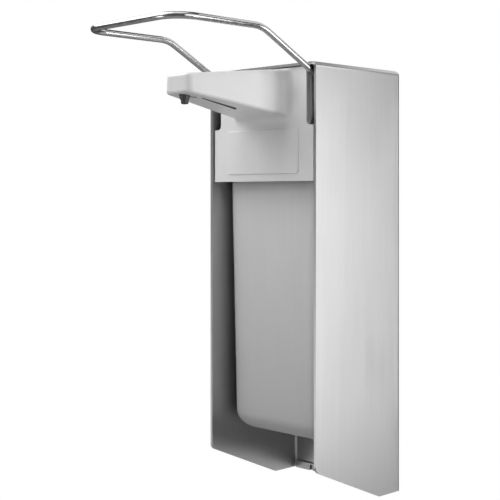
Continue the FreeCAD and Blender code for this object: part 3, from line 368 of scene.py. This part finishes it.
def section_at(height):
    """Half width, front and rear of the bottle at a height: it narrows slightly towards its foot."""
    down = (SHOULDER_Z - height) / (SHOULDER_Z - bottle_low.z)
    side, front, rear = (taper * down for taper in FOOT_TAPER)
    return bottle_high.x - side, bottle_low.y + front, bottle_high.y - rear


def rounded_rectangle(half_x, half_y, corner, angle):
    """Distance from the centre to a rounded rectangle in a direction."""
    tiny = 1e-9
    along_x = abs(math.cos(angle))
    along_y = abs(math.sin(angle))
    reach = min(half_x / max(along_x, tiny), half_y / max(along_y, tiny))
    corner_x = half_x - corner
    corner_y = half_y - corner
    if reach * along_x > corner_x and reach * along_y > corner_y:
        middle = along_x * corner_x + along_y * corner_y
        spare = middle * middle - (corner_x * corner_x + corner_y * corner_y - corner * corner)
        reach = middle + math.sqrt(max(spare, 0.0))
    return reach


def round_the_circle():
    """The directions of the points of a ring."""
    return [2 * math.pi * step / RING_POINTS for step in range(RING_POINTS)]


def body_ring(height, inset, corner, wall):
    """A level ring of the bottle's body, drawn in by an inset for the shoulder and foot rounds."""
    half_x, front, rear = section_at(height)
    middle_y = (front + rear) / 2
    size_x = half_x - inset - wall
    size_y = (rear - front) / 2 - inset - wall
    ring = []
    for angle in round_the_circle():
        reach = rounded_rectangle(size_x, size_y, max(corner - wall, LEAST_CORNER), angle)
        ring.append(Vector((math.cos(angle) * reach, middle_y + math.sin(angle) * reach, height)))
    return ring


def neck_ring(radius, height):
    """A level circle round the axis of the neck."""
    return [Vector((NECK_X + math.cos(angle) * radius, NECK_Y + math.sin(angle) * radius, height))
            for angle in round_the_circle()]


def between(first, second, share, height):
    """A level ring at a share of the way from one ring to another."""
    ring = []
    for one, other in zip(first, second):
        point = one.lerp(other, share)
        point.z = height
        ring.append(point)
    return ring


def base_rings(wall, foot_round, foot_z):
    """Rings of the bottle's raised base, from near its middle to the foot round."""
    edge = body_ring(foot_z, foot_round, CORNER * FOOT_CORNER_SHARE, wall)
    centre = Vector((0.0, sum((point.y for point in edge)) / RING_POINTS, foot_z))
    rings = []
    for share in (0.06, 0.3, 0.55, 0.78, 0.92, 1.0):
        lift = PUNT * (1 - share ** 3)
        rings.append([centre.lerp(point, share) + Vector((0, 0, lift)) for point in edge])
    return rings


def side_rings(wall, foot_round, foot_z, top_round, top_z):
    """Rings of the foot round, the sides and the shoulder round."""
    rings = []
    for step in range(1, ROUND_STEPS + 1):
        turn = math.pi / 2 * step / ROUND_STEPS
        drawn = foot_round * (1 - math.sin(turn))
        corner = CORNER * gap_between(FOOT_CORNER_SHARE, 1.0, math.sin(turn))
        rings.append(body_ring(foot_z + foot_round * (1 - math.cos(turn)), drawn, corner, wall))
    for step in range(1, SIDE_STEPS):
        height = gap_between(foot_z + foot_round, top_z - top_round, step / SIDE_STEPS)
        rings.append(body_ring(height, 0.0, CORNER, wall))
    for step in range(0, ROUND_STEPS + 1):
        turn = math.pi / 2 * step / ROUND_STEPS
        drawn = top_round * (1 - math.cos(turn))
        corner = CORNER * gap_between(1.0, TOP_CORNER_SHARE, math.sin(turn))
        rings.append(body_ring(top_z - top_round * (1 - math.sin(turn)), drawn, corner, wall))
    return rings


def neck_rings(wall, shoulder, top_z):
    """Rings from the shoulder across to the neck and up it, with a small fillet at its root."""
    radius = NECK_RADIUS if wall == 0 else NECK_BORE
    fillet = ((1.2 * MM, 0.0), (0.35 * MM, 0.3 * MM), (0.0, 1.1 * MM))
    rim = bottle_high.z - (0.0 if wall == 0 else 0.35 * MM)
    root_out, root_up = fillet[0]
    root = neck_ring(radius + root_out, top_z + root_up)
    rings = [between(shoulder, root, share, top_z) for share in (0.35, 0.7, 1.0)]
    for out, up in fillet[1:]:
        rings.append(neck_ring(radius + out, top_z + up))
    straight_z = top_z + fillet[-1][1]
    for share in (0.5, 1.0):
        rings.append(neck_ring(radius, gap_between(straight_z, rim - 0.5 * MM, share)))
    return rings


def bottle_rings(wall):
    """Rings from the middle of the base to the rim of the neck; wall is 0 for the outer skin."""
    foot_round = FOOT_ROUND - wall
    top_round = TOP_ROUND - wall
    foot_z = bottle_low.z + wall
    top_z = SHOULDER_Z - wall
    rings = base_rings(wall, foot_round, foot_z)
    rings += side_rings(wall, foot_round, foot_z, top_round, top_z)
    return rings + neck_rings(wall, rings[-1], top_z)


def stitch(mesh, lower, upper):
    """Quads between two rings of mesh vertices."""
    count = len(lower)
    for index in range(count):
        after = (index + 1) % count
        mesh.faces.new((lower[index], lower[after], upper[after], upper[index]))


def finished(mesh, name, slot, body, *nodes):
    """Turn a bmesh into a smooth piece that rides on a body and, where nodes are named, replaces them."""
    bmesh.ops.recalc_face_normals(mesh, faces=mesh.faces)
    data = bpy.data.meshes.new(name)
    mesh.to_mesh(data)
    mesh.free()
    for face in data.polygons:
        face.use_smooth = True
    piece = bpy.data.objects.new(name, data)
    bpy.context.scene.collection.objects.link(piece)
    data.materials.append(LOOKS[slot])
    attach(piece, body)
    if nodes:
        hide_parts(*nodes)
    return piece


def make_bottle():
    """Outer and inner skins of the bottle, joined by the rounded rim of its neck."""
    mesh = bmesh.new()
    outer = [[mesh.verts.new(point) for point in ring] for ring in bottle_rings(0.0)]
    inner = [[mesh.verts.new(point) for point in ring] for ring in bottle_rings(SKIN)]
    for skin in (outer, inner):
        mesh.faces.new(skin[0])
        for lower, upper in zip(skin, skin[1:]):
            stitch(mesh, lower, upper)
    middle = (NECK_RADIUS + NECK_BORE) / 2
    lip = [mesh.verts.new(point) for point in neck_ring(middle + LIP_HALF, bottle_high.z)]
    inside_lip = [mesh.verts.new(point) for point in neck_ring(middle - LIP_HALF, bottle_high.z)]
    stitch(mesh, outer[-1], lip)
    stitch(mesh, lip, inside_lip)
    stitch(mesh, inside_lip, inner[-1])
    finished(mesh, "blown_bottle", "bottle_plastic", "bottle_body", "bottle")


# ---- seam, painted shadow strip, rims and spring ------------------------------------------

def closed_strip(mesh, sections):
    """A strip through sections of equally many corners, closed at both ends."""
    rows = [[mesh.verts.new(corner) for corner in section] for section in sections]
    for first, second in zip(rows, rows[1:]):
        stitch(mesh, first, second)
    mesh.faces.new(rows[0])
    mesh.faces.new(rows[-1])


def make_parting_seam():
    """Fine ridge where the halves of the blow mould met, up both sides of the bottle."""
    steps = 30
    clear_of_rounds = 2 * MM
    sunk, proud = 0.1 * MM, 0.12 * MM
    foot_half, ridge_half = 0.35 * MM, 0.12 * MM
    low_z = bottle_low.z + FOOT_ROUND + clear_of_rounds
    high_z = SHOULDER_Z - TOP_ROUND - clear_of_rounds
    mesh = bmesh.new()
    for side in (1, -1):
        sections = []
        for step in range(steps + 1):
            height = gap_between(low_z, high_z, step / steps)
            half_x, front, rear = section_at(height)
            middle_y = (front + rear) / 2
            skin = side * (half_x - sunk)
            ridge = side * (half_x + proud)
            sections.append([Vector((skin, middle_y - foot_half, height)),
                             Vector((ridge, middle_y - ridge_half, height)),
                             Vector((ridge, middle_y + ridge_half, height)),
                             Vector((skin, middle_y + foot_half, height))])
        closed_strip(mesh, sections)
    finished(mesh, "bottle_parting_seam", "bottle_plastic", "bottle_body")


def make_cover_shadow_strip():
    """Dark rubber strip round the sides and rear of the strip in the spout arm's underside: painted
    shadow that darkens the gap there.
    """
    # Half widths of the strip, and heights of the arm's skin, at the shadow strip's front and rear ends.
    front_half, rear_half = 4.66 * MM, 3.4 * MM
    front_z, rear_z = 98.36 * MM, 94.38 * MM
    thick = 0.28 * MM
    clear = 0.03 * MM
    side_drop, rear_drop, height = 0.33 * MM, 0.55 * MM, 1.2 * MM
    mesh = bmesh.new()
    cover_low, cover_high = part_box("spout_channel_cover")
    front_y = cover_low.y + 3.2 * MM
    rear_y = cover_high.y + clear
    path = [(front_half, front_y, front_z), (rear_half, rear_y, rear_z),
            (-rear_half, rear_y, rear_z), (-front_half, front_y, front_z)]
    sections = []
    for x, y, skin in path:
        side = 1 if x > 0 else -1
        at_rear = y == rear_y
        inner = x + side * clear
        outer = inner + side * thick
        outer_y = y + (thick if at_rear else 0.0)
        below = skin - (rear_drop if at_rear else side_drop)
        above = skin + height
        sections.append([Vector((inner, y, below)), Vector((outer, outer_y, below)),
                         Vector((outer, outer_y, above)), Vector((inner, y, above))])
    closed_strip(mesh, sections)
    # painted shadow: the dark rubber look stands for the shade in the gap round the channel cover
    finished(mesh, "spout_cover_shadow_strip", "seal_rubber", "pump_unit")


def make_notch_rims():
    """Rim behind the inner edge of each lever notch, which hides the gap behind it."""
    # The rim's place in the frame: the notch's inner edge, the plate's rear and the notch's foot.
    steps = 8
    edge_x, rim = 33.15 * MM, 1.3 * MM
    front_y, rear_y = -66.9 * MM, -64.4 * MM
    foot_z, below_top = 86.4 * MM, 1.0 * MM
    end_taper, outer_taper_share = 0.5 * MM, 0.4
    plate_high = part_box("pump_front")[1]
    for name, side in (("right_notch_rim", 1), ("left_notch_rim", -1)):
        mesh = bmesh.new()
        sections = []
        for step in range(steps + 1):
            height = gap_between(foot_z, plate_high.z - below_top, step / steps)
            drawn = end_taper if step in (0, steps) else 0.0
            near = side * (edge_x - rim + drawn)
            far = side * (edge_x - drawn * outer_taper_share)
            sections.append([Vector((near, front_y, height)),
                             Vector((far, front_y, height)),
                             Vector((far, rear_y - drawn, height)),
                             Vector((near, rear_y - drawn, height))])
        closed_strip(mesh, sections)
        finished(mesh, name, "pump_plastic", "pump_unit")


def make_coil_spring():
    """The pump's return spring as a coil that rides on the pump unit."""
    turns, steps_per_turn, wire_points = 6, 30, 8
    wire = 0.6 * MM
    low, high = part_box("return_spring")
    centre = (low + high) / 2
    coil_radius = (high.x - low.x) / 2 - wire
    length = high.z - low.z - 2 * wire
    steps = steps_per_turn * turns
    mesh = bmesh.new()
    sections = []
    for step in range(steps + 1):
        angle = 2 * math.pi * turns * step / steps
        outward = Vector((math.cos(angle), math.sin(angle), 0.0))
        height = low.z + wire + length * step / steps
        middle = Vector((centre.x, centre.y, height)) + outward * coil_radius
        section = []
        for corner in range(wire_points):
            turn = 2 * math.pi * corner / wire_points
            lift = Vector((0, 0, wire * math.sin(turn)))
            section.append(middle + outward * (wire * math.cos(turn)) + lift)
        sections.append(section)
    closed_strip(mesh, sections)
    spring = finished(mesh, "coil_spring", SLOTS["return_spring"], "pump_unit", "return_spring")
    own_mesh(spring)


make_bottle()
make_parting_seam()
make_cover_shadow_strip()
make_coil_spring()
make_notch_rims()

for name in ("housing_shell", "tray_hook_rail", "bearing_bracket"):
    soften(frame["nodes"][name], 0.22 * MM)
for name in ("pump_front", "spout_channel_cover"):
    soften(frame["nodes"][name], 0.3 * MM, segments=3)


# ---- studio -------------------------------------------------------------------------------

WHITE = (1.0, 1.0, 1.0, 1.0)


def seen_as(tree, seen, lit, output):
    """Show one shader to the camera's own rays and another to all other light."""
    path = add_node(tree, "LightPath")
    mix = add_node(tree, "MixShader")
    tree.links.new(path.outputs["Is Camera Ray"], mix.inputs[0])
    tree.links.new(lit.outputs[0], mix.inputs[1])
    tree.links.new(seen.outputs[0], mix.inputs[2])
    tree.links.new(mix.outputs[0], output.inputs["Surface"])


def make_floor():
    """A pale floor well below the hanging object; seen directly it is as white as what is round it."""
    drop, reach = 0.42, 6.0
    shade = 0.42
    level = cad_low.z - drop
    signs = ((-1, -1), (1, -1), (1, 1), (-1, 1))
    corners = [(x * reach, y * reach, level) for x, y in signs]
    mesh = bpy.data.meshes.new("studio_floor")
    mesh.from_pydata(corners, [], [tuple(range(len(corners)))])
    floor = bpy.data.objects.new("studio_floor", mesh)
    bpy.context.scene.collection.objects.link(floor)
    made, tree, shader = new_material("studio_floor_look", metal=0.0)
    shader.inputs["Roughness"].default_value = 0.9
    shader.inputs["Specular IOR Level"].default_value = 0.1
    grain = stretched_noise(tree, object_coordinates(tree), (3.0, 3.0, 3.0))
    colour = mixed(tree, "RGBA", remapped(tree, grain, 0.0, 1.0), [shade * 0.99] * 3, [shade] * 3)
    tree.links.new(colour, shader.inputs["Base Color"])
    mesh.materials.append(made)
    glow = add_node(tree, "Emission", Color=WHITE, Strength=1.0)
    seen_as(tree, glow, shader, tree.nodes["Material Output"])


def make_world():
    """White behind the object, and for the light a soft room: bright above and in front, dim behind."""
    room_power = 0.42
    fades_from_y, dim_from_y, dim_behind = 0.10, 0.72, 0.04
    dim_below_z, bright_above_z, dim_below = -0.2, 0.8, 0.05
    world = bpy.data.worlds.new("studio")
    bpy.context.scene.world = world
    world.use_nodes = True
    tree = world.node_tree
    tree.nodes.clear()
    output = add_node(tree, "OutputWorld")
    direction = axes(tree, add_node(tree, "TexCoord").outputs["Generated"])
    from_front = remapped(tree, direction["Y"], 1.0, dim_behind, fades_from_y, dim_from_y)
    from_above = remapped(tree, direction["Z"], dim_below, 1.0, dim_below_z, bright_above_z)
    both = computed(tree, "MULTIPLY", from_front, from_above)
    strength = computed(tree, "MULTIPLY", both, room_power)
    room = add_node(tree, "Background", Color=WHITE)
    tree.links.new(strength, room.inputs["Strength"])
    paper = add_node(tree, "Background", Color=WHITE, Strength=1.0)
    seen_as(tree, paper, room, output)


def add_softbox(name, place, target, width, height, power, spread=180.0):
    """A soft light aimed at a place; a spread under 180 degrees is a grid over it."""
    data = bpy.data.lights.new(name, "AREA")
    data.shape = "RECTANGLE"
    data.size = width
    data.size_y = height
    data.energy = power
    data.spread = math.radians(spread)
    box = bpy.data.objects.new(name, data)
    box.location = place
    box.rotation_euler = (Vector(target) - Vector(place)).to_track_quat("-Z", "Y").to_euler()
    box.visible_camera = False
    bpy.context.scene.collection.objects.link(box)


def make_camera():
    """Level camera to the right of the front, at about the height of the bottle's shoulder."""
    data = bpy.data.cameras.new("camera")
    data.sensor_width = 36.0
    data.lens = 80.64
    data.shift_y = -0.1066
    data.clip_start = 0.01
    camera = bpy.data.objects.new("camera", data)
    camera.location = (0.4361, -0.5024, 0.0475)
    camera.rotation_euler = (math.radians(90.0), 0.0, math.radians(45.86))
    bpy.context.scene.collection.objects.link(camera)
    bpy.context.scene.camera = camera


make_floor()
make_world()
middle = (cad_low + cad_high) / 2
add_softbox("key_softbox", (-0.36, -0.58, 0.64), middle, 0.85, 0.85, 5.6)
add_softbox("left_softbox", (-0.80, -0.24, 0.80), middle, 0.7, 0.5, 5.2)
add_softbox("right_softbox", (0.74, 0.27, -0.02), (0.04, -0.04, 0.0), 0.36, 0.56, 2.8)
add_softbox("fill_softbox", (0.95, -0.05, 0.14), (0.02, -0.10, 0.08), 0.8, 0.7, 3.4)
add_softbox("top_softbox", (0.15, -0.30, 0.85), middle, 0.6, 0.6, 1.4)
add_softbox("low_softbox", (-0.28, -0.58, -0.12), (-0.01, -0.08, 0.10), 0.3, 0.3, 0.085, spread=50.0)
add_softbox("rear_softbox", (0.12, 0.85, 0.80), middle, 1.5, 0.6, 3.2)
make_camera()
bpy.context.scene.view_settings.view_transform = "Standard"
